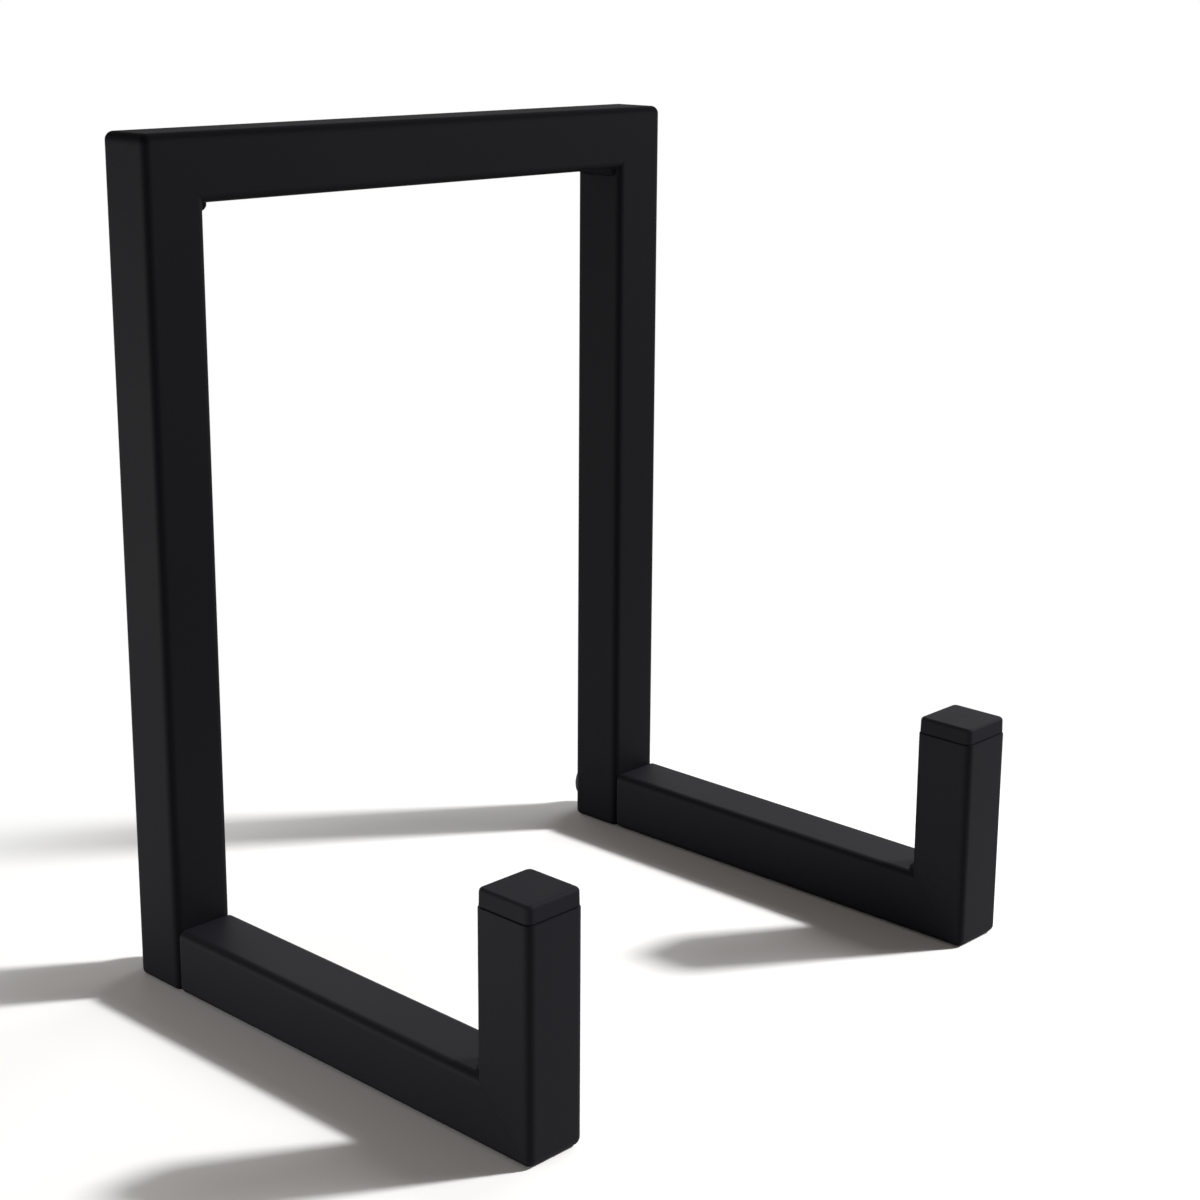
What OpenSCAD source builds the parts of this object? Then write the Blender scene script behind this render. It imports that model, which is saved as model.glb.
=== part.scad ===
// Record storage stand: a welded rear frame and two bolted L-shaped feet, all of square steel tube.
// +X is to the right, the front is towards -Y and +Z is up.
// The origin is on the table, at the middle of the stand's width and of its full depth.

/* [Rear frame] */
// Width over both uprights
frame_w = 225; // [150:1:320]
// Height over the top bar
frame_h = 272; // [200:1:360]

/* [Feet] */
// Front face of the uprights to front face of the front posts
foot_reach = 160; // [110:1:240]
// Height of a front post, without its cap
post_h = 72; // [45:1:120]

/* [Square tube] */
// Outer width of the tube
tube_size = 21.5; // [16:0.5:25]
// Wall of the tube
tube_wall = 1.5; // [1:0.1:2.2]
// Outer radius of the tube's long edges
tube_edge_r = 2.7; // [1.5:0.1:3]
// Radius ground on the outer edge of a mitred corner
mitre_edge_r = 2; // [0.8:0.1:2.4]

/* [Welds] */
// Leg of the fillet weld inside a mitred corner
weld_leg = 2.6; // [1:0.1:3]

/* [End plates] */
// Thickness of the steel plate that closes a tube end
plate_t = 3; // [2.5:0.1:5]
// Radius ground on the outer edges of the plate
plate_edge_r = 2; // [0.8:0.1:2.4]

/* [Foot bolts] */
// Shank diameter
bolt_d = 6; // [5:0.5:8]
// Diameter of the flat head
bolt_head_d = 15; // [12:0.5:16]
// Height of the flat head
bolt_head_h = 3.3; // [2.8:0.1:4.5]
// Radius on the rim of the head
bolt_rim_r = 1; // [0.4:0.1:1.4]
// Width across flats of the hexagon socket
socket_af = 4; // [3:0.5:5]
// Depth of the hexagon socket
socket_depth = 2.2; // [1.5:0.1:2.4]
// Shank that shows past the nut
bolt_tail = 2; // [1:0.5:6]
// Radial clearance of the shank in the tube walls and the end plate
bolt_hole_gap = 0.3; // [0.1:0.05:0.5]

/* [Weld nuts] */
// Width across flats
nut_af = 10; // [9.5:0.5:12]
// Height
nut_h = 5; // [4:0.1:7]
// Radial clearance between the nut's bore and the shank
thread_gap = 0.05; // [0.02:0.01:0.1]

/* [Post caps] */
// Height of the head that shows above the post
cap_head_h = 5.5; // [3:0.1:10]
// Step from the tube's face in to the head's side
cap_step = 0.4; // [0.2:0.1:1.2]
// Radius of the head's upright edges
cap_edge_r = 2; // [1:0.1:3]
// Radius around the top of the head
cap_rim_r = 1.2; // [0.5:0.1:2]
// Wall of the hollow skirt inside the post
skirt_wall = 1.5; // [1:0.1:2.5]
// Height of a fin
fin_h = 0.8; // [0.5:0.1:1.5]
// How far a fin stands out from the skirt
fin_reach = 0.8; // [0.4:0.1:1.2]
// Distance from one fin to the next
fin_pitch = 4; // [2:0.5:6]
// Number of fins
fin_count = 3; // [1:1:4]
// Clearance between the fins and the bore of the tube
fin_gap = 0.05; // [0:0.01:0.15]

/* [Hidden] */

$fn = 48;

// Overrun of a cut past the faces that it crosses
over = 1;
// Smallest radius left inside the tube's edges
least_bore_r = 0.2;
// Chamfer at the tip of the shank
tip_chamfer = 0.8;

powder_black = [0.11, 0.11, 0.12];
cap_black = [0.16, 0.16, 0.17];
bolt_black = [0.07, 0.07, 0.07];
nut_zinc = [0.65, 0.66, 0.68];

bore_w = tube_size - 2 * tube_wall;
bore_r = max(tube_edge_r - tube_wall, least_bore_r);

// Left side of the stand: outer face, inner face and the middle of the tube
x_out = -frame_w / 2;
x_in = x_out + tube_size;
x_mid = x_out + tube_size / 2;

// Faces of the stand from back to front
total_depth = bolt_head_h + tube_size + foot_reach;
y_back = total_depth / 2 - bolt_head_h;
y_frame = y_back - tube_size;
y_front = y_frame - foot_reach;
y_post = y_front + tube_size;

z_bar = tube_size;
z_bolt = tube_size / 2;
bolt_hole_r = bolt_d / 2 + bolt_hole_gap;
bolt_len = tube_size + plate_t + nut_h + bolt_tail;
skirt_h = fin_count * fin_pitch;
skirt_w = bore_w - 2 * fin_gap - 2 * fin_reach;

// Square with rounded corners, centred
module rounded_square(w, r) {
    square([w, w - 2 * r], center = true);
    square([w - 2 * r, w], center = true);
    for (sx = [-1, 1], sy = [-1, 1])
        translate([sx * (w / 2 - r), sy * (w / 2 - r)])
            circle(r);
}

// Straight hollow tube along Z from the origin
module tube(length) {
    difference() {
        linear_extrude(length)
            rounded_square(tube_size, tube_edge_r);
        translate([0, 0, -over])
            linear_extrude(length + 2 * over)
                rounded_square(bore_w, bore_r);
    }
}

// Upright profile whose top corners are rounded
module round_topped(w, h, r) {
    translate([-w / 2, 0])
        square([w, h - r]);
    translate([-w / 2 + r, 0])
        square([w - 2 * r, h]);
    for (s = [-1, 1])
        translate([s * (w / 2 - r), h - r])
            circle(r);
}

// Square block from Z = 0 up, with rounded upright edges and a rounded rim around its top
module rimmed_block(w, h, edge_r, rim_r) {
    intersection() {
        linear_extrude(h)
            rounded_square(w, edge_r);
        for (turn = [0, 90])
            rotate([90, 0, turn])
                translate([0, 0, -w / 2 - over])
                    linear_extrude(w + 2 * over)
                        round_topped(w, h, rim_r);
    }
}

// Sharp outer corner at the origin, pointing to -X and +Z, that is cut away to leave a radius.
// It runs along Y, centred.
module corner_waste(r, length) {
    difference() {
        translate([-over, -length / 2, -r])
            cube([r + over, length, r + over]);
        translate([r, 0, -r])
            rotate([90, 0, 0])
                cylinder(h = length + 2 * over, r = r, center = true);
    }
}

// Extrudes a profile drawn in X and Z along Y, between two depths
module across_depth(y_low, y_high) {
    translate([0, y_high, 0])
        rotate([90, 0, 0])
            linear_extrude(y_high - y_low)
                children();
}

// Extrudes a profile drawn in Y and Z along X, across the left foot
module across_foot(inset) {
    translate([x_out + inset, 0, 0])
        rotate([90, 0, 90])
            linear_extrude(tube_size - 2 * inset)
                children();
}

// Cuts that the two tubes of a mitred frame corner share
module frame_corner_waste() {
    translate([x_out, y_frame + tube_size / 2, frame_h])
        corner_waste(mitre_edge_r, tube_size + 2 * over);
}

// Cuts that the two tubes of a mitred foot corner share
module foot_corner_waste() {
    translate([x_mid, y_front, 0])
        rotate([0, 0, 90])
            mirror([0, 0, 1])
                corner_waste(mitre_edge_r, tube_size + 2 * over);
}

module upright() {
    difference() {
        intersection() {
            translate([x_mid, y_frame + tube_size / 2, plate_t])
                tube(frame_h);
            across_depth(y_frame - over, y_back + over)
                polygon([
                    [x_out - over, 0],
                    [x_in + over, 0],
                    [x_in + over, frame_h - tube_size - over],
                    [x_out - over, frame_h + over]
                ]);
        }
        frame_corner_waste();
        translate([x_mid, y_back + over, z_bolt])
            rotate([90, 0, 0])
                cylinder(h = tube_size + 2 * over, r = bolt_hole_r);
    }
}

module top_tube() {
    difference() {
        intersection() {
            translate([x_out, y_frame + tube_size / 2, frame_h - tube_size / 2])
                rotate([0, 90, 0])
                    tube(frame_w);
            across_depth(y_frame - over, y_back + over)
                polygon([
                    [x_out - over, frame_h + over],
                    [x_in + over, frame_h - tube_size - over],
                    [-x_in - over, frame_h - tube_size - over],
                    [-x_out + over, frame_h + over]
                ]);
        }
        frame_corner_waste();
        mirror([1, 0, 0])
            frame_corner_waste();
    }
}

module base_tube() {
    difference() {
        intersection() {
            translate([x_mid, y_frame - plate_t, z_bar / 2])
                rotate([90, 0, 0])
                    tube(foot_reach);
            across_foot(-over)
                polygon([
                    [y_frame, -over],
                    [y_front - over, -over],
                    [y_post + over, z_bar + over],
                    [y_frame, z_bar + over]
                ]);
        }
        foot_corner_waste();
    }
}

module post_tube() {
    difference() {
        intersection() {
            translate([x_mid, y_front + tube_size / 2, 0])
                tube(post_h);
            across_foot(-over)
                polygon([
                    [y_front - over, -over],
                    [y_post + over, z_bar + over],
                    [y_post + over, post_h + over],
                    [y_front - over, post_h + over]
                ]);
        }
        foot_corner_waste();
    }
}

// Plate under an upright, with its ground rim on the table
module upright_plate() {
    translate([x_mid, y_frame + tube_size / 2, plate_t])
        mirror([0, 0, 1])
            rimmed_block(tube_size, plate_t, tube_edge_r, plate_edge_r);
}

// Plate across the back end of a base bar, with its ground rim against the upright
module bar_plate() {
    difference() {
        translate([x_mid, y_frame - plate_t, z_bolt])
            rotate([-90, 0, 0])
                rimmed_block(tube_size, plate_t, tube_edge_r, plate_edge_r);
        translate([x_mid, y_frame + over, z_bolt])
            rotate([90, 0, 0])
                cylinder(h = plate_t + 2 * over, r = bolt_hole_r);
    }
}

// Fillet weld under the top bar, along the flat of the upright's inner face
module frame_weld() {
    across_depth(y_frame + tube_edge_r, y_back - tube_edge_r)
        polygon([
            [x_in, frame_h - tube_size],
            [x_in + weld_leg, frame_h - tube_size],
            [x_in, frame_h - tube_size - weld_leg]
        ]);
}

// Fillet weld on the base bar, along the flat of the post's back face
module foot_weld() {
    across_foot(tube_edge_r)
        polygon([
            [y_post, z_bar],
            [y_post + weld_leg, z_bar],
            [y_post, z_bar + weld_leg]
        ]);
}

// Push-in cap: a rimmed head on the post's end, and a hollow finned skirt inside the tube
module post_cap() {
    translate([x_mid, y_front + tube_size / 2, post_h]) {
        rimmed_block(tube_size - 2 * cap_step, cap_head_h, cap_edge_r, cap_rim_r);
        difference() {
            union() {
                translate([0, 0, -skirt_h])
                    linear_extrude(skirt_h)
                        rounded_square(skirt_w, bore_r);
                for (i = [1 : fin_count])
                    translate([0, 0, -i * fin_pitch + (fin_pitch - fin_h) / 2])
                        linear_extrude(fin_h)
                            rounded_square(bore_w - 2 * fin_gap, bore_r);
            }
            translate([0, 0, -skirt_h - over])
                linear_extrude(skirt_h + over)
                    square(skirt_w - 2 * skirt_wall, center = true);
        }
    }
}

// Flat-headed socket bolt, with its head on the upright's back face and its shank towards the front
module foot_bolt() {
    translate([x_mid, y_back, z_bolt])
        rotate([90, 0, 0]) {
            cylinder(h = bolt_len - tip_chamfer, d = bolt_d);
            translate([0, 0, bolt_len - tip_chamfer])
                cylinder(h = tip_chamfer, d1 = bolt_d, d2 = bolt_d - 2 * tip_chamfer);
            mirror([0, 0, 1])
                difference() {
                    rotate_extrude()
                        intersection() {
                            round_topped(bolt_head_d, bolt_head_h, bolt_rim_r);
                            square([bolt_head_d, bolt_head_h]);
                        }
                    translate([0, 0, bolt_head_h - socket_depth])
                        cylinder(h = socket_depth + over, d = socket_af / cos(30), $fn = 6);
                }
        }
}

// Hexagon nut welded behind the end plate, inside the base bar
module weld_nut() {
    translate([x_mid, y_frame - plate_t, z_bolt])
        rotate([90, 0, 0])
            difference() {
                cylinder(h = nut_h, d = nut_af / cos(30), $fn = 6);
                translate([0, 0, -over])
                    cylinder(h = nut_h + 2 * over, r = bolt_d / 2 + thread_gap);
            }
}

// The right side of the stand is the left side mirrored
module right_side() {
    mirror([1, 0, 0])
        children();
}

module left_upright() {
    color(powder_black) upright();
}

module right_upright() {
    color(powder_black) right_side() upright();
}

module top_bar() {
    color(powder_black) top_tube();
}

module left_upright_plate() {
    color(powder_black) upright_plate();
}

module right_upright_plate() {
    color(powder_black) right_side() upright_plate();
}

module left_frame_weld() {
    color(powder_black) frame_weld();
}

module right_frame_weld() {
    color(powder_black) right_side() frame_weld();
}

module left_base_bar() {
    color(powder_black) base_tube();
}

module right_base_bar() {
    color(powder_black) right_side() base_tube();
}

module left_front_post() {
    color(powder_black) post_tube();
}

module right_front_post() {
    color(powder_black) right_side() post_tube();
}

module left_foot_weld() {
    color(powder_black) foot_weld();
}

module right_foot_weld() {
    color(powder_black) right_side() foot_weld();
}

module left_post_cap() {
    color(cap_black) post_cap();
}

module right_post_cap() {
    color(cap_black) right_side() post_cap();
}

module left_bar_plate() {
    color(powder_black) bar_plate();
}

module right_bar_plate() {
    color(powder_black) right_side() bar_plate();
}

module left_weld_nut() {
    color(nut_zinc) weld_nut();
}

module right_weld_nut() {
    color(nut_zinc) right_side() weld_nut();
}

module left_foot_bolt() {
    color(bolt_black) foot_bolt();
}

module right_foot_bolt() {
    color(bolt_black) right_side() foot_bolt();
}

left_upright();
right_upright();
top_bar();
left_upright_plate();
right_upright_plate();
left_frame_weld();
right_frame_weld();
left_base_bar();
right_base_bar();
left_front_post();
right_front_post();
left_foot_weld();
right_foot_weld();
left_post_cap();
right_post_cap();
left_bar_plate();
right_bar_plate();
left_weld_nut();
right_weld_nut();
left_foot_bolt();
right_foot_bolt();
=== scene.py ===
from math import cos, pi, radians, sin, sqrt

import bmesh
import bpy
from mathutils import Matrix, Vector


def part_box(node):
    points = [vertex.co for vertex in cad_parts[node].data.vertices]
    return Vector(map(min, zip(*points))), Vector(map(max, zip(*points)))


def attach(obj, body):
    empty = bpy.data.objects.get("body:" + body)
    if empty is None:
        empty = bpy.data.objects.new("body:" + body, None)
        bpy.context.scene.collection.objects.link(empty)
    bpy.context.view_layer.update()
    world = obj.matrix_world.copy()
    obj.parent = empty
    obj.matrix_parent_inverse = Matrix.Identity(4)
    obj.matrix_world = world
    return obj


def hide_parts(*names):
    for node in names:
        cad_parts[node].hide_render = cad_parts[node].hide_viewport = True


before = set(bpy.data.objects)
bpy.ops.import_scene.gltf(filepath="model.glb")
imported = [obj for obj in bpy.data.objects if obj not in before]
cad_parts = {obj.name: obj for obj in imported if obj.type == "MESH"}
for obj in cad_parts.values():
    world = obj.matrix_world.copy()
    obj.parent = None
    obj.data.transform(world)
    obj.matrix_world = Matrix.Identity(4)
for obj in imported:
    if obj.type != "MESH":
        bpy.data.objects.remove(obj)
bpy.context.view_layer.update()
print("frame loaded:", len(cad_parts), "nodes")

mm = 0.001
closeEnough = 1e-6  # metres
sameWay = 0.99      # cosine from which two directions count as one
xAxis, yAxis, zAxis = Vector((1, 0, 0)), Vector((0, 1, 0)), Vector((0, 0, 1))

# places that several pieces share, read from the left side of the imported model
uprightLow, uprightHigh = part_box("left_upright")
barLow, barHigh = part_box("left_base_bar")
postLow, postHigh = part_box("left_front_post")
tubeSize = uprightHigh.x - uprightLow.x
xOuter, xInner = uprightLow.x, uprightHigh.x
xMiddle = (xOuter + xInner) / 2
yFrame, yBack = uprightLow.y, uprightHigh.y
yFront, yPost = postLow.y, postHigh.y
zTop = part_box("top_bar")[1].z
zBolt = tubeSize / 2
sides = {"left": 1, "right": -1}  # the right side is the left one mirrored in x

tube = {
    "wall": 1.5 * mm,
    "edgeRadius": 2.7 * mm,
    "edgeSegments": 8,
    "lipRadius": 0.3 * mm,   # coat rounding over the sawn rim of a post
    "lipSegments": 2,
    "bendAngle": 0.1,        # radians from which an edge that turns outwards is rounded
    "holeSegments": 48,
}


def isEdge(item):
    return isinstance(item, bmesh.types.BMEdge)


def isVert(item):
    return isinstance(item, bmesh.types.BMVert)


def turnsOutwards(edge):
    return edge.calc_face_angle_signed() > tube["bendAngle"]


def roundOver(bm, edges, radius, segments):
    bmesh.ops.bevel(bm, geom=edges, offset=radius, offset_type="OFFSET", affect="EDGES",
                    segments=segments, profile=0.5, material=-1, clamp_overlap=True)


def block(low, high):
    bm = bmesh.new()
    bmesh.ops.create_cube(bm, size=1)
    bmesh.ops.scale(bm, vec=high - low, verts=bm.verts)
    bmesh.ops.translate(bm, vec=(low + high) / 2, verts=bm.verts)
    return bm


def edgesAlong(bm, axis):
    return [e for e in bm.edges
            if abs((e.verts[1].co - e.verts[0].co).normalized().dot(axis)) > sameWay]


def edgesAt(bm, axis, place):
    return [e for e in bm.edges
            if all(abs(v.co.dot(axis) - place) < closeEnough for v in e.verts)]


def rimmedBlock(low, high, outward, edgeRadius, rimRadius, segments):
    # block whose edges along the outward axis are rounded, and the rim of its outward face, with
    # two segments fewer because it is smaller
    bm = block(low, high)
    roundOver(bm, edgesAlong(bm, outward), edgeRadius, segments)
    rimPlace = max(v.co.dot(outward) for v in bm.verts)
    roundOver(bm, edgesAt(bm, outward, rimPlace), rimRadius, segments - 2)
    return bm


def prism(corners, push):
    bm = bmesh.new()
    face = bm.faces.new([bm.verts.new(c) for c in corners])
    moved = bmesh.ops.extrude_face_region(bm, geom=[face])["geom"]
    bmesh.ops.translate(bm, vec=push, verts=[v for v in moved if isVert(v)])
    bmesh.ops.recalc_face_normals(bm, faces=bm.faces)
    return bm


def cutAway(bm, point, normal):
    # takes off what lies beyond the plane, and gives the edges of the cut
    everything = bm.verts[:] + bm.edges[:] + bm.faces[:]
    cut = bmesh.ops.bisect_plane(bm, geom=everything, dist=closeEnough,
                                 plane_co=point, plane_no=normal, clear_outer=True)
    return [e for e in cut["geom_cut"] if isEdge(e)]


def mitre(bm, point, normal):
    # cuts a hollow tube, and closes the cut through its wall
    bmesh.ops.bridge_loops(bm, edges=cutAway(bm, point, normal))


def mitredRun(corners, push, isOpen):
    # hollow square tube that follows the corners, rounded along its outer edges, with open ends
    bm = prism(corners, push)
    endFaces = [f for f in bm.faces if isOpen(f)]
    endEdges = {e for f in endFaces for e in f.edges}
    outerEdges = [e for e in bm.edges if e not in endEdges and turnsOutwards(e)]
    roundOver(bm, outerEdges, tube["edgeRadius"], tube["edgeSegments"])
    bmesh.ops.delete(bm, geom=[f for f in bm.faces if isOpen(f)], context="FACES")
    bmesh.ops.solidify(bm, geom=bm.faces[:], thickness=tube["wall"])
    return bm


def drill(piece, centre, radius, length):
    # clean hole through a piece, along y
    bm = bmesh.new()
    turn = Matrix.Translation(centre) @ Matrix.Rotation(pi / 2, 4, "X")
    bmesh.ops.create_cone(bm, cap_ends=True, segments=tube["holeSegments"], radius1=radius,
                          radius2=radius, depth=length, matrix=turn)
    cutter = bpy.data.objects.new("cutter", bpy.data.meshes.new("cutter"))
    bm.to_mesh(cutter.data)
    bm.free()
    bpy.context.scene.collection.objects.link(cutter)
    cut = piece.modifiers.new("hole", "BOOLEAN")
    cut.operation, cut.solver, cut.object = "DIFFERENCE", "EXACT", cutter
    drilled = piece.evaluated_get(bpy.context.evaluated_depsgraph_get())
    piece.data = bpy.data.meshes.new_from_object(drilled)
    piece.modifiers.clear()
    bpy.data.objects.remove(cutter)


def makeObject(name, bm, mirrored=False):
    if mirrored:
        bmesh.ops.scale(bm, vec=(-1, 1, 1), verts=bm.verts)
    bmesh.ops.remove_doubles(bm, verts=bm.verts, dist=closeEnough)
    bmesh.ops.recalc_face_normals(bm, faces=bm.faces)
    mesh = bpy.data.meshes.new(name)
    bm.to_mesh(mesh)
    bm.free()
    piece = bpy.data.objects.new(name, mesh)
    bpy.context.scene.collection.objects.link(piece)
    return piece


def markEdges(piece):
    # the coat's "edge" mask, for the painted shade and the extra roughness on rounded edges: 0 on flat
    # faces, up to 1 midway round a rounded edge
    edge = piece.data.attributes.new("edge", "FLOAT", "FACE")
    for face in piece.data.polygons:
        flatness = max(abs(part) for part in face.normal)
        edge.data[face.index].value = min((1 - flatness) / (1 - sqrt(0.5)), 1)


def dress(piece, material, node, sharpAngle=40):
    for face in piece.data.polygons:
        face.use_smooth = True
    piece.data.set_sharp_from_angle(angle=radians(sharpAngle))
    flats = piece.modifiers.new("flat faces", "WEIGHTED_NORMAL")
    flats.keep_sharp = True
    piece.data.materials.clear()
    piece.data.materials.append(material)
    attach(piece, "root")
    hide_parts(node)


class Socket:
    # one output of a shader node, which sums and noise can be written with
    def __init__(self, tree, output=None):
        self.tree, self.output = tree, output

    def node(self, kind, settings=None, inputs=None, output=0):
        made = self.tree.nodes.new(kind)
        for key, value in (settings or {}).items():
            setattr(made, key, value)
        for key, value in (inputs or {}).items():
            if isinstance(value, Socket):
                self.tree.links.new(value.output, made.inputs[key])
            else:
                made.inputs[key].default_value = value
        return Socket(self.tree, made.outputs[output] if made.outputs else None)

    def math(self, operation, first, second=0.0):
        return self.node("ShaderNodeMath", {"operation": operation}, {0: first, 1: second})

    def __add__(self, other):
        return self.math("ADD", self, other)

    def __sub__(self, other):
        return self.math("SUBTRACT", self, other)

    def __rsub__(self, other):
        return self.math("SUBTRACT", other, self)

    def __mul__(self, other):
        return self.math("MULTIPLY", self, other)

    def __abs__(self):
        return self.math("ABSOLUTE", self)

    __radd__, __rmul__ = __add__, __mul__

    def between(self, low, high):
        # 0 below low, 1 above high, with a soft step from one to the other
        return self.node("ShaderNodeMapRange", {"interpolation_type": "SMOOTHSTEP"},
                         {"Value": self, "From Min": low, "From Max": high})

    def noise(self, place, scale, detail=2.0, roughness=0.5):
        return self.node("ShaderNodeTexNoise", {}, {"Vector": place, "Scale": scale,
                                                    "Detail": detail, "Roughness": roughness})

    def tint(self, rgb):
        # the colour times this tone, which may be anything from 0 to 2
        twice = (2 * rgb[0], 2 * rgb[1], 2 * rgb[2], 1)
        return self.node("ShaderNodeMix", {"data_type": "RGBA"},
                         {"Factor": self * 0.5, 6: (0, 0, 0, 1), 7: twice}, 2)


def newMaterial(name):
    material = bpy.data.materials.new(name)
    material.use_nodes = True
    material.node_tree.nodes.clear()
    return material, Socket(material.node_tree)


def axesOf(start, place):
    parts = start.node("ShaderNodeSeparateXYZ", {}, {0: place}).output.node.outputs
    return [Socket(start.tree, parts[letter]) for letter in "XYZ"]


coat = {
    "frameColour": (0.0035, 0.0034, 0.0045),
    "footLitColour": (0.0085, 0.0082, 0.0106),  # painted light: the feet get a lighter copy of the one coat colour
    "cloudDepth": 0.10,      # how far the tone drifts over a tube, either way
    "grainDepth": 0.22,      # the same for single grains of powder
    "cloudRoughness": 0.10,  # how far the roughness spreads with the drift and the grains
    "grainRoughness": 0.12,
    "edgePaintedShade": 0.42,       # painted shade: how much darker a rounded edge is drawn
    "edgeRoughness": 0.22,   # added on a rounded edge
    "roughness": 0.56,
    "specular": 0.045,
    "cloudScale": 16,        # per metre
    "peelScale": 420,        # orange peel, about 2.4 mm a dimple
    "grainScale": 2600,      # powder grain, about 0.4 mm
    "peelShare": 0.55,       # of the relief, the rest is grain
    "bump": 0.22,
    "bumpDistance": 0.06 * mm,
    "seamWidth": 0.35 * mm,  # ground and painted mitre seam
    "seamDepth": 0.85,
    "seamShade": 0.32,
    "frameSeamShow": 0.4,    # the frame's seams are ground flatter than the feet's
    "lowPaintedLight": 0.5,          # painted light: the frame's colour is drawn lighter near the floor
    "lowFrom": 0.03,
    "lowTo": 0.14,
    "topRoughness": 0.40,    # the upper face of the top bar is duller
    "topFrom": 4 * mm,       # depth under the top at which that begins, and is complete
    "topTo": 1 * mm,
}


def powderCoat(name, colour, seamPlace=None, seamShow=1.0, onFrame=False):
    material, start = newMaterial(name)
    place = start.node("ShaderNodeTexCoord", output="Object")
    edge = start.node("ShaderNodeAttribute", {"attribute_name": "edge"}, output="Fac")
    cloud = start.noise(place, coat["cloudScale"])
    peel = start.noise(place, coat["peelScale"], detail=1)
    grain = start.noise(place, coat["grainScale"], roughness=0.6)
    tone = 1 + (cloud - 0.5) * (2 * coat["cloudDepth"]) + (grain - 0.5) * (2 * coat["grainDepth"])
    # painted shade: rounded edges drawn darker
    tone = tone * (1 - edge * coat["edgePaintedShade"])
    roughness = (coat["roughness"] + (cloud - 0.5) * coat["cloudRoughness"]
                 + (grain - 0.5) * coat["grainRoughness"] + edge * coat["edgeRoughness"])
    if onFrame:
        z = axesOf(start, place)[2]
        # painted light: lighter towards the floor
        low = 1 - z.between(coat["lowFrom"], coat["lowTo"])
        tone = tone * (1 + low * coat["lowPaintedLight"])
        top = z.between(zTop - coat["topFrom"], zTop - coat["topTo"])
        roughness = roughness + top * coat["topRoughness"]
    height = peel * coat["peelShare"] + grain * (1 - coat["peelShare"])
    if seamPlace:
        seam = 1 - abs(seamPlace(start, place)).between(0, coat["seamWidth"])
        height = height - seam * (coat["seamDepth"] * seamShow)
        tone = tone - seam * (coat["seamShade"] * seamShow)
    bump = start.node("ShaderNodeBump", {}, {"Strength": coat["bump"], "Height": height,
                                            "Distance": coat["bumpDistance"]})
    paint = start.node("ShaderNodeBsdfPrincipled", {}, {
        "Base Color": tone.tint(colour), "Normal": bump,
        "Roughness": roughness, "Specular IOR Level": coat["specular"]})
    start.node("ShaderNodeOutputMaterial", {}, {"Surface": paint})
    return material


def frameSeam(start, place):
    # both top corners share one line, because the frame is the same on either side of x = 0
    x, y, z = axesOf(start, place)
    return (z - abs(x) - (zTop + xOuter)) * sqrt(0.5)


def footSeam(start, place):
    x, y, z = axesOf(start, place)
    return (y - z - yFront) * sqrt(0.5)


frameCoat = powderCoat("frame powder coat", coat["frameColour"], frameSeam,
                       coat["frameSeamShow"], onFrame=True)
# painted light: the feet carry a lighter copy of the frame's coat colour
footCoat = powderCoat("foot powder coat", coat["footLitColour"], footSeam)
frameWeldCoat = powderCoat("frame weld powder coat", coat["frameColour"])
footWeldCoat = powderCoat("foot weld powder coat", coat["footLitColour"])

moulded = {
    "colour": (0.0106, 0.0103, 0.0130),
    "roughness": 0.62,
    "specular": 0.03,
    "sparkScale": 1500,      # spark-eroded mould grain, about 0.6 mm
    "flowScale": 60,
    "sparkTone": 0.3,        # how far the tone spreads with the grain and with the flow
    "flowTone": 0.16,
    "flowRoughness": 0.14,
    "bump": 0.16,
    "bumpDistance": 0.05 * mm,
}


def mouldedPlastic(name):
    material, start = newMaterial(name)
    place = start.node("ShaderNodeTexCoord", output="Object")
    spark = start.noise(place, moulded["sparkScale"], detail=3, roughness=0.65)
    flow = start.noise(place, moulded["flowScale"], detail=1)
    tone = 1 + (spark - 0.5) * moulded["sparkTone"] + (flow - 0.5) * moulded["flowTone"]
    bump = start.node("ShaderNodeBump", {}, {"Strength": moulded["bump"], "Height": spark,
                                            "Distance": moulded["bumpDistance"]})
    plastic = start.node("ShaderNodeBsdfPrincipled", {}, {
        "Base Color": tone.tint(moulded["colour"]), "Normal": bump,
        "Roughness": moulded["roughness"] + (flow - 0.5) * moulded["flowRoughness"],
        "Specular IOR Level": moulded["specular"]})
    start.node("ShaderNodeOutputMaterial", {}, {"Surface": plastic})
    return material


fastener = {
    "oxide": {"colour": (0.012, 0.012, 0.013), "metallic": 0.0, "roughness": 0.42, "specular": 0.3},
    "zinc": {"colour": (0.62, 0.63, 0.65), "metallic": 1.0, "roughness": 0.32, "specular": 0.5},
    "cloudScale": 140,
    "fleckScale": 2200,
    "cloudTone": 0.5,        # how far the tone spreads with the clouds and with the flecks
    "fleckTone": 0.2,
    "cloudRoughness": 0.2,
    "bump": 0.1,
    "bumpDistance": 0.03 * mm,
}


def platedSteel(name, plating):
    material, start = newMaterial(name)
    place = start.node("ShaderNodeTexCoord", output="Object")
    cloud = start.noise(place, fastener["cloudScale"], detail=3, roughness=0.6)
    fleck = start.noise(place, fastener["fleckScale"], detail=1)
    tone = 1 + (cloud - 0.5) * fastener["cloudTone"] + (fleck - 0.5) * fastener["fleckTone"]
    bump = start.node("ShaderNodeBump", {}, {"Strength": fastener["bump"], "Height": fleck,
                                            "Distance": fastener["bumpDistance"]})
    steel = start.node("ShaderNodeBsdfPrincipled", {}, {
        "Base Color": tone.tint(plating["colour"]), "Normal": bump,
        "Metallic": plating["metallic"],
        "Roughness": plating["roughness"] + (cloud - 0.5) * fastener["cloudRoughness"],
        "Specular IOR Level": plating["specular"]})
    start.node("ShaderNodeOutputMaterial", {}, {"Surface": steel})
    return material


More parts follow.
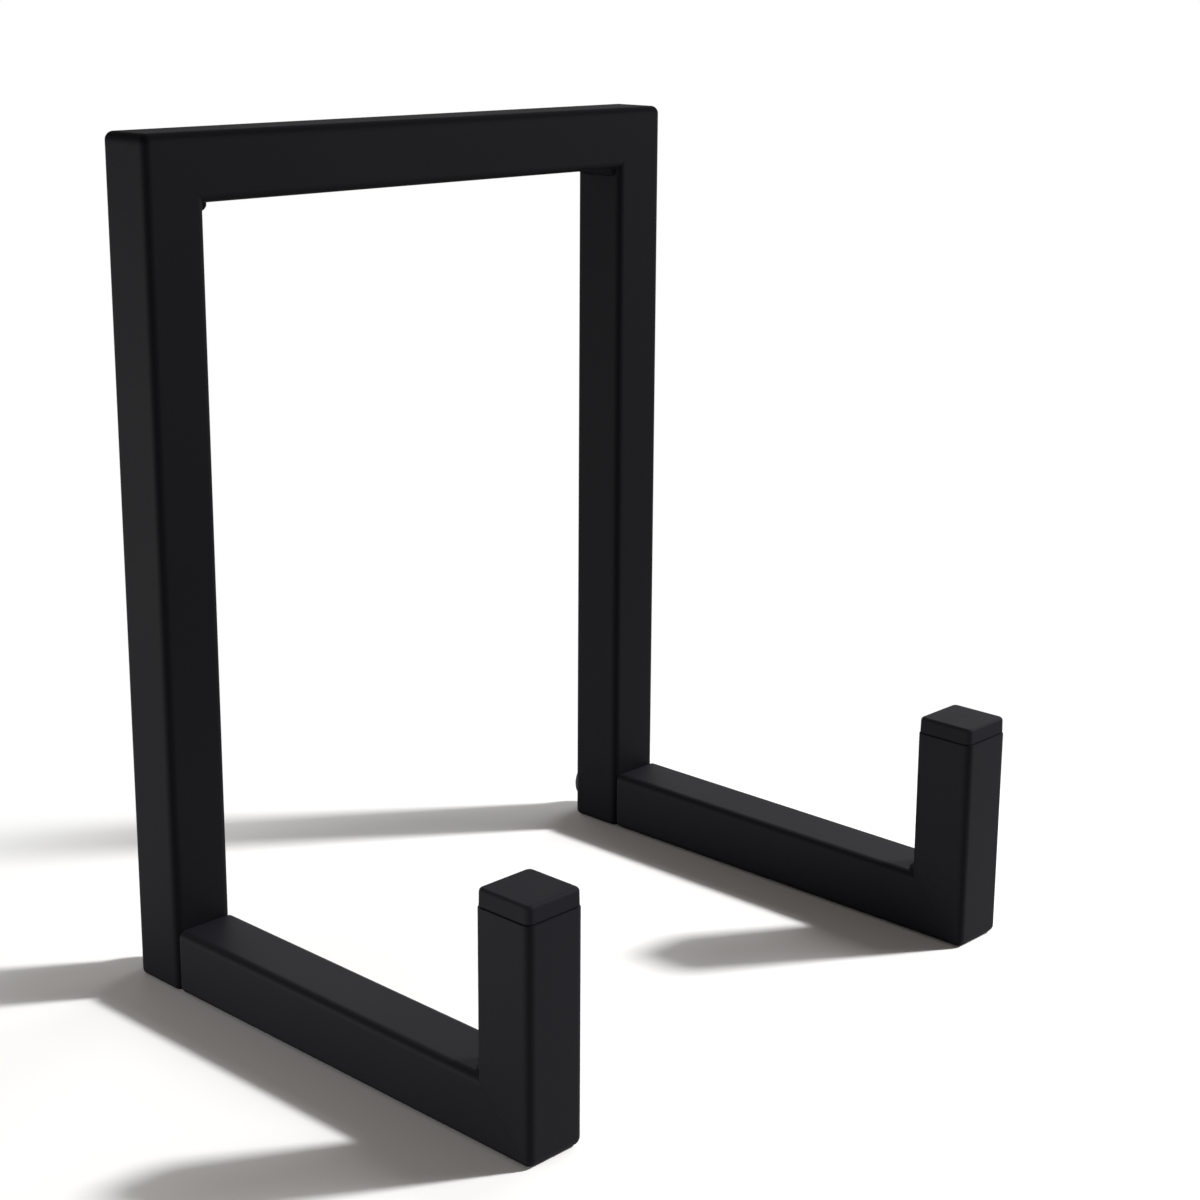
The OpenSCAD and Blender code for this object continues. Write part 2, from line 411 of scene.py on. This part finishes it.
capPlastic = mouldedPlastic("cap plastic")
blackOxide = platedSteel("black oxide", fastener["oxide"])
zincPlate = platedSteel("zinc plate", fastener["zinc"])
print("finishes made")

bolt = {
    "holeRadius": 3.3 * mm,
    "headRadius": 7.5 * mm,
    "headHeight": 3.3 * mm,
    "rim": 1.0 * mm,         # rounding of the head's outer rim
    "foot": 0.3 * mm,        # small chamfer where the head meets the tube
    "shankRadius": 3.0 * mm,
    "tip": 0.8 * mm,         # how far the end tapers in
    "threadDepth": 0.35 * mm,
    "threadedEnd": 13.2 * mm,
    "threadPitch": 1.0 * mm,
    "threadCount": 11,
    "rootPlace": 0.25,       # where a turn's root starts and its crest ends, in pitches
    "crestPlace": -0.2,
    "socketSides": 6,
    "socketRadius": 4 * mm / sqrt(3),  # 4 mm across the flats
    "socketFlare": 1.35,     # the dished rim round the socket is that much wider
    "socketDepth": 2.2 * mm,
    "socketSink": 0.2 * mm,  # depth of that rim's dish
    "turnSteps": 48,
    "rimSteps": 5,
    "sharpAngle": 30,
}


def isFrameEnd(face):
    # open lower ends of the uprights
    return face.normal.z < -sameWay and face.calc_center_median().z < zTop / 2


def frameRun():
    corners = [Vector((x, yFrame, z)) for x, z in (
        (xOuter, uprightLow.z), (xOuter, zTop), (-xOuter, zTop), (-xOuter, uprightLow.z),
        (-xInner, uprightLow.z), (-xInner, zTop - tubeSize),
        (xInner, zTop - tubeSize), (xInner, uprightLow.z))]
    return mitredRun(corners, yAxis * tubeSize, isFrameEnd)


whole = frameRun()
cornerLeft, cornerRight = Vector((xOuter, 0, zTop)), Vector((-xOuter, 0, zTop))
upAndIn, upAndOut = Vector((1, 0, 1)), Vector((-1, 0, 1))

barPart = 1.1 * tubeSize     # a little more than the top bar's own height
bar = whole.copy()
cutAway(bar, zAxis * (zTop - barPart), -zAxis)
mitre(bar, cornerLeft, -upAndIn)
mitre(bar, cornerRight, -upAndOut)
piece = makeObject("topBar", bar)
markEdges(piece)
dress(piece, frameCoat, "top_bar")

for side, sign in sides.items():
    upright = whole.copy()
    cutAway(upright, Vector((0, 0, 0)), xAxis)
    mitre(upright, cornerLeft, upAndIn)
    piece = makeObject(side + "Upright", upright, sign < 0)
    middle = Vector((sign * xMiddle, (yFrame + yBack) / 2, zBolt))
    drill(piece, middle, bolt["holeRadius"], 2 * tubeSize)
    markEdges(piece)
    dress(piece, frameCoat, side + "_upright")
whole.free()
print("rear frame made")


def isFootEnd(face):
    # open rear end of the base bar, and open top of the post
    middle = face.calc_center_median()
    rear = face.normal.y > sameWay and middle.y > yFrame - tubeSize
    return rear or (face.normal.z > sameWay and middle.z > barHigh.z + tubeSize)


def footRun():
    corners = [Vector((xOuter, y, z)) for y, z in (
        (barHigh.y, barLow.z), (yFront, barLow.z), (yFront, postHigh.z),
        (yPost, postHigh.z), (yPost, barHigh.z), (barHigh.y, barHigh.z))]
    return mitredRun(corners, xAxis * tubeSize, isFootEnd)


whole = footRun()
heel = Vector((0, yFront, 0))

for side, sign in sides.items():
    bar = whole.copy()
    mitre(bar, heel, Vector((0, -1, 1)))
    piece = makeObject(side + "BaseBar", bar, sign < 0)
    markEdges(piece)
    dress(piece, footCoat, side + "_base_bar")

    post = whole.copy()
    mitre(post, heel, Vector((0, 1, -1)))
    lip = [e for e in edgesAt(post, zAxis, postHigh.z) if turnsOutwards(e)]
    roundOver(post, lip, tube["lipRadius"], tube["lipSegments"])
    piece = makeObject(side + "FrontPost", post, sign < 0)
    markEdges(piece)
    dress(piece, footCoat, side + "_front_post")
whole.free()
print("feet made")

plate = {"rimRadius": 2 * mm, "segments": 8}

for side, sign in sides.items():
    for part, outward, material, slot in (("upright", -zAxis, frameCoat, "frame_paint"),
                                          ("bar", yAxis, footCoat, "foot_paint")):
        low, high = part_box("left_" + part + "_plate")
        bm = rimmedBlock(low, high, outward, tube["edgeRadius"], plate["rimRadius"], plate["segments"])
        piece = makeObject(side + part.title() + "Plate", bm, sign < 0)
        if part == "bar":
            drill(piece, Vector((sign * xMiddle, yFrame, zBolt)), bolt["holeRadius"], tubeSize)
        markEdges(piece)
        dress(piece, material, side + "_" + part + "_plate")
print("end plates made")

bead = {
    "ripplePitch": 1.3 * mm,
    "rippleDepth": 0.10,
    "rippleBow": 0.9,        # how far the crescents trail behind, in turns of a ripple
    "endSize": 0.80,         # the bead thins to this at its two ends
    "endPower": 12,          # the higher, the nearer to its ends it thins
    "rings": 72,
    "facets": 32,
    "sharpAngle": 50,
}


def weldBead(low, high, along, inward):
    # rippled bead laid in a corner: inward points from the corner into the open, square to along
    leg = max((high - low)[i] for i in range(3) if abs(along[i]) < 0.5)
    length = (high - low).dot(along)
    corner = Vector([high[i] if inward[i] < 0 else low[i] for i in range(3)])
    corner += along * ((low + high) / 2 - corner).dot(along)
    bm = bmesh.new()
    bmesh.ops.create_cone(bm, cap_ends=True, segments=bead["facets"], radius1=leg, radius2=leg,
                          depth=length)
    bmesh.ops.subdivide_edges(bm, edges=edgesAlong(bm, zAxis), cuts=bead["rings"],
                              use_grid_fill=True)
    turn = zAxis.rotation_difference(along).to_matrix()
    middle = turn.inverted() @ inward.normalized()
    for v in bm.verts:
        out = Vector((v.co.x, v.co.y, 0))
        if out.length < leg / 2:
            continue
        lag = 1 - out.normalized().dot(middle)
        ripple = cos(2 * pi * (v.co.z / bead["ripplePitch"] + bead["rippleBow"] * lag))
        body = sqrt(max(1 - (abs(v.co.z) * 2 / length) ** bead["endPower"], 0))
        swell = (1 + bead["rippleDepth"] * ripple) * (bead["endSize"] + (1 - bead["endSize"]) * body)
        v.co.x *= swell
        v.co.y *= swell
    bmesh.ops.rotate(bm, cent=(0, 0, 0), matrix=turn, verts=bm.verts)
    bmesh.ops.translate(bm, vec=corner, verts=bm.verts)
    for axis in (xAxis, yAxis, zAxis):
        reach = inward.dot(axis)
        if abs(reach) > 0.1:
            bmesh.ops.holes_fill(bm, edges=cutAway(bm, corner, -axis * reach))
    return bm


for side, sign in sides.items():
    bm = weldBead(*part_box("left_frame_weld"), yAxis, Vector((1, 0, -1)))
    piece = makeObject(side + "FrameWeld", bm, sign < 0)
    dress(piece, frameWeldCoat, side + "_frame_weld", bead["sharpAngle"])
    bm = weldBead(*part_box("left_foot_weld"), xAxis, Vector((0, 1, 1)))
    piece = makeObject(side + "FootWeld", bm, sign < 0)
    dress(piece, footWeldCoat, side + "_foot_weld", bead["sharpAngle"])
print("weld beads laid")

cap = {
    "step": 0.4 * mm,        # the head stands that far inside the tube's faces
    "edgeRadius": 2.0 * mm,
    "rimRadius": 1.2 * mm,
    "draft": 0.99,           # the top is that much narrower than the foot of the head
    "neck": 0.35 * mm,       # shadow gap under the head
    "skirtWall": 1.5 * mm,
    "finPlay": 0.05 * mm,    # between a fin and the tube's bore
    "finReach": 0.8 * mm,
    "finTaper": 0.2 * mm,
    "finHeight": 0.8 * mm,
    "finPitch": 4 * mm,
    "finCount": 3,
    "segments": 8,
}


def capOutline(headWidth, zHead):
    # widths and heights from the head's foot down the skirt, and up again inside it
    finWidth = tubeSize - 2 * (tube["wall"] + cap["finPlay"])
    neckWidth, skirtWidth = headWidth - 2 * cap["neck"], finWidth - 2 * cap["finReach"]
    steps = [(neckWidth, zHead + cap["neck"]), (neckWidth, zHead), (skirtWidth, zHead)]
    for i in range(cap["finCount"]):
        top = zHead - (i + 0.5) * cap["finPitch"] + cap["finHeight"] / 2
        foot = top - cap["finHeight"]
        steps += [(skirtWidth, top), (finWidth, top),
                  (finWidth - cap["finTaper"], foot), (skirtWidth, foot)]
    zEnd = zHead - cap["finCount"] * cap["finPitch"]
    inside = skirtWidth - 2 * cap["skirtWall"]
    return steps + [(skirtWidth, zEnd), (inside, zEnd), (inside, zHead)]


def postCap():
    zHead, zCap = postHigh.z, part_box("left_post_cap")[1].z
    width = tubeSize - 2 * cap["step"]
    middle = Vector((xMiddle, (yFront + yPost) / 2, 0))
    half = Vector((width / 2, width / 2, 0))
    bm = rimmedBlock(middle - half + zAxis * (zHead + cap["neck"]), middle + half + zAxis * zCap,
                     zAxis, cap["edgeRadius"], cap["rimRadius"], cap["segments"])
    for v in bm.verts:
        narrow = 1 - (1 - cap["draft"]) * (v.co.z - zHead) / (zCap - zHead)
        v.co.x = middle.x + (v.co.x - middle.x) * narrow
        v.co.y = middle.y + (v.co.y - middle.y) * narrow
    underside = min(bm.faces, key=lambda f: f.calc_center_median().z)
    ring = underside.edges[:]
    bmesh.ops.delete(bm, geom=[underside], context="FACES_ONLY")
    lastWidth = width
    for ringWidth, z in capOutline(width, zHead):
        made = bmesh.ops.extrude_edge_only(bm, edges=ring)["geom"]
        ring = [e for e in made if isEdge(e)]
        for v in [v for v in made if isVert(v)]:
            v.co.x = middle.x + (v.co.x - middle.x) * ringWidth / lastWidth
            v.co.y = middle.y + (v.co.y - middle.y) * ringWidth / lastWidth
            v.co.z = z
        lastWidth = ringWidth
    bmesh.ops.holes_fill(bm, edges=ring)
    return bm


for side, sign in sides.items():
    piece = makeObject(side + "PostCap", postCap(), sign < 0)
    dress(piece, capPlastic, side + "_post_cap")
print("post caps made")


def boltProfile(length):
    # radius and place along the bolt, from the socket's rim round the head and down the shank
    head, shank, pitch = bolt["headRadius"], bolt["shankRadius"], bolt["threadPitch"]
    points = [(bolt["socketRadius"] * bolt["socketFlare"], bolt["headHeight"])]
    for i in range(bolt["rimSteps"] + 1):
        turn = pi / 2 * i / bolt["rimSteps"]
        points.append((head - bolt["rim"] * (1 - sin(turn)),
                       bolt["headHeight"] - bolt["rim"] * (1 - cos(turn))))
    points += [(head, bolt["foot"]), (head - bolt["foot"], 0), (shank, 0)]
    start = bolt["threadedEnd"] - length
    points.append((shank, start))
    for i in range(bolt["threadCount"]):
        middle = start - (i + 0.5) * pitch
        points += [(shank - bolt["threadDepth"], middle + bolt["rootPlace"] * pitch),
                   (shank, middle + bolt["crestPlace"] * pitch)]
    return points + [(shank - bolt["tip"], -length), (0, -length)]


def footBolt(length):
    bm = bmesh.new()
    line = [bm.verts.new((radius, 0, z)) for radius, z in boltProfile(length)]
    edges = [bm.edges.new(pair) for pair in zip(line, line[1:])]
    bmesh.ops.spin(bm, geom=line + edges, cent=(0, 0, 0), axis=(0, 0, 1), angle=2 * pi,
                   steps=bolt["turnSteps"], use_merge=True)
    bmesh.ops.remove_doubles(bm, verts=bm.verts, dist=closeEnough)
    rim = [e for e in bm.edges if e.is_boundary]
    sunk = Matrix.Translation(zAxis * (bolt["headHeight"] - bolt["socketSink"]))
    hexagon = bmesh.ops.create_circle(bm, segments=bolt["socketSides"],
                                      radius=bolt["socketRadius"], matrix=sunk)
    hexEdges = {e for v in hexagon["verts"] for e in v.link_edges}
    # as many edges as the head's rim has, so that the two bridge cleanly
    cuts = bolt["turnSteps"] // bolt["socketSides"] - 1
    cut = bmesh.ops.subdivide_edges(bm, edges=list(hexEdges), cuts=cuts)
    hexEdges = {e for e in cut["geom"] if isEdge(e)} | {e for e in hexEdges if e.is_valid}
    bmesh.ops.bridge_loops(bm, edges=rim + list(hexEdges))
    deep = bmesh.ops.extrude_edge_only(bm, edges=list(hexEdges))["geom"]
    bmesh.ops.translate(bm, vec=-zAxis * bolt["socketDepth"], verts=[v for v in deep if isVert(v)])
    bmesh.ops.holes_fill(bm, edges=[e for e in deep if isEdge(e)])
    place = Matrix.Translation((xMiddle, yBack, zBolt)) @ Matrix.Rotation(-pi / 2, 4, "X")
    bmesh.ops.transform(bm, matrix=place, verts=bm.verts)
    return bm


for side, sign in sides.items():
    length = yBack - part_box("left_foot_bolt")[0].y
    piece = makeObject(side + "FootBolt", footBolt(length), sign < 0)
    dress(piece, blackOxide, side + "_foot_bolt", bolt["sharpAngle"])
    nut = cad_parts[side + "_weld_nut"]
    nut.data.materials.clear()
    nut.data.materials.append(zincPlate)
print("bolts and nuts made")

ground = {
    "radius": 2.4,
    "segments": 96,
    "colour": (0.965, 0.962, 0.955),
    "fadeCentre": (-0.04, -0.06, 0),
    "fadeFrom": 0.185,       # further out the paper goes over into the white background
    "fadeTo": 0.34,
}


def seenDirectly(start):
    # 1 where the camera, a reflection or glass looks straight at the surface
    rays = start.node("ShaderNodeLightPath").output.node
    camera, glossy, glass = (Socket(start.tree, rays.outputs[name]) for name in
                             ("Is Camera Ray", "Is Glossy Ray", "Is Transmission Ray"))
    return start.math("MINIMUM", camera + glossy + glass, 1.0)


def makeFloor():
    bm = bmesh.new()
    bmesh.ops.create_circle(bm, cap_ends=True, segments=ground["segments"],
                            radius=ground["radius"])
    floor = makeObject("floor", bm)
    material, start = newMaterial("white studio floor")
    place = start.node("ShaderNodeTexCoord", output="Object")
    away = start.node("ShaderNodeVectorMath", {"operation": "DISTANCE"},
                      {0: place, 1: ground["fadeCentre"]}, "Value")
    paper = start.node("ShaderNodeBsdfDiffuse", {}, {"Color": ground["colour"] + (1,)})
    white = start.node("ShaderNodeEmission", {}, {"Color": (1, 1, 1, 1), "Strength": 1.0})
    far = away.between(ground["fadeFrom"], ground["fadeTo"]) * seenDirectly(start)
    mixed = start.node("ShaderNodeMixShader", {}, {0: far, 1: paper, 2: white})
    start.node("ShaderNodeOutputMaterial", {}, {"Surface": mixed})
    floor.data.materials.append(material)


studio = {"airColour": (1.0, 0.92, 0.84), "airLevel": 0.130}


def makeWorld():
    world = bpy.data.worlds.new("white studio")
    world.use_nodes = True
    world.node_tree.nodes.clear()
    bpy.context.scene.world = world
    start = Socket(world.node_tree)
    air = start.node("ShaderNodeBackground", {}, {"Color": studio["airColour"] + (1,),
                                                 "Strength": studio["airLevel"]})
    white = start.node("ShaderNodeBackground", {}, {"Color": (1, 1, 1, 1), "Strength": 1.0})
    mixed = start.node("ShaderNodeMixShader", {}, {0: seenDirectly(start), 1: air, 2: white})
    start.node("ShaderNodeOutputWorld", {}, {"Surface": mixed})


# level is how bright a white face square to the lamp would render from that lamp alone;
# keyHalo hangs with the key and gives its shadows a soft rim
lamps = {
    "key": {"at": (1.91, -1.31, 1.81), "aim": (0, 0, 0.1), "size": (0.26, 0.26), "level": 1.27},
    "keyHalo": {"at": (1.91, -1.31, 1.81), "aim": (0, 0, 0.1), "size": (0.9, 0.9), "level": 0.21},
    "leftStrip": {"at": (-0.70, 0.05, 0.045), "aim": (-0.11, 0, 0.05), "size": (0.5, 0.12),
                  "level": 0.48, "colour": (1.0, 0.99, 0.97)},
    "backLeftStrip": {"at": (-0.67, 0.43, 0.055), "aim": (-0.11, 0.05, 0.05), "size": (0.5, 0.12),
                      "level": 0.48, "colour": (1.0, 0.99, 0.97)},
    "backRight": {"at": (0.48, 0.86, 0.35), "aim": (-0.05, 0, 0.05), "size": (0.6, 0.4), "level": 0.070},
    "rightFill": {"at": (1.13, 0.19, 0.74), "aim": (0, 0, 0), "size": (0.9, 0.6), "level": 0.27},
}


def addLamp(name, values):
    at, aim = Vector(values["at"]), Vector(values["aim"])
    lamp = bpy.data.lights.new(name, "AREA")
    lamp.shape = "ELLIPSE"
    lamp.size, lamp.size_y = values["size"]
    lamp.energy = values["level"] * (pi * (at - aim).length) ** 2
    lamp.color = values.get("colour", (1, 1, 1))
    holder = bpy.data.objects.new(name, lamp)
    turn = (at - aim).to_track_quat("Z", "Y").to_matrix().to_4x4()
    holder.matrix_world = Matrix.Translation(at) @ turn
    holder.visible_camera = False
    bpy.context.scene.collection.objects.link(holder)


makeFloor()
makeWorld()
for name, values in lamps.items():
    addLamp(name, values)
print("floor and lamps set")

camera = {
    "place": (-0.5022, -0.4889, 0.3186),
    "yaw": 0.8096,           # turned right from looking along +y, in radians
    "pitch": -0.2467,
    "roll": 0.0066,
    "sensor": 36,            # mm wide
    "focal": 67.6,           # mm
    "shift": -0.05,
    "clipStart": 0.01,
}


def addCamera():
    data = bpy.data.cameras.new("camera")
    data.sensor_width, data.lens = camera["sensor"], camera["focal"]
    data.shift_y = camera["shift"]
    data.clip_start = camera["clipStart"]
    holder = bpy.data.objects.new("camera", data)
    turn = (Matrix.Rotation(-camera["yaw"], 4, "Z") @ Matrix.Rotation(pi / 2 + camera["pitch"], 4, "X")
            @ Matrix.Rotation(camera["roll"], 4, "Z"))
    holder.matrix_world = Matrix.Translation(camera["place"]) @ turn
    bpy.context.scene.collection.objects.link(holder)
    bpy.context.scene.camera = holder


addCamera()
bpy.context.scene.view_settings.view_transform = "Standard"
print("camera set")
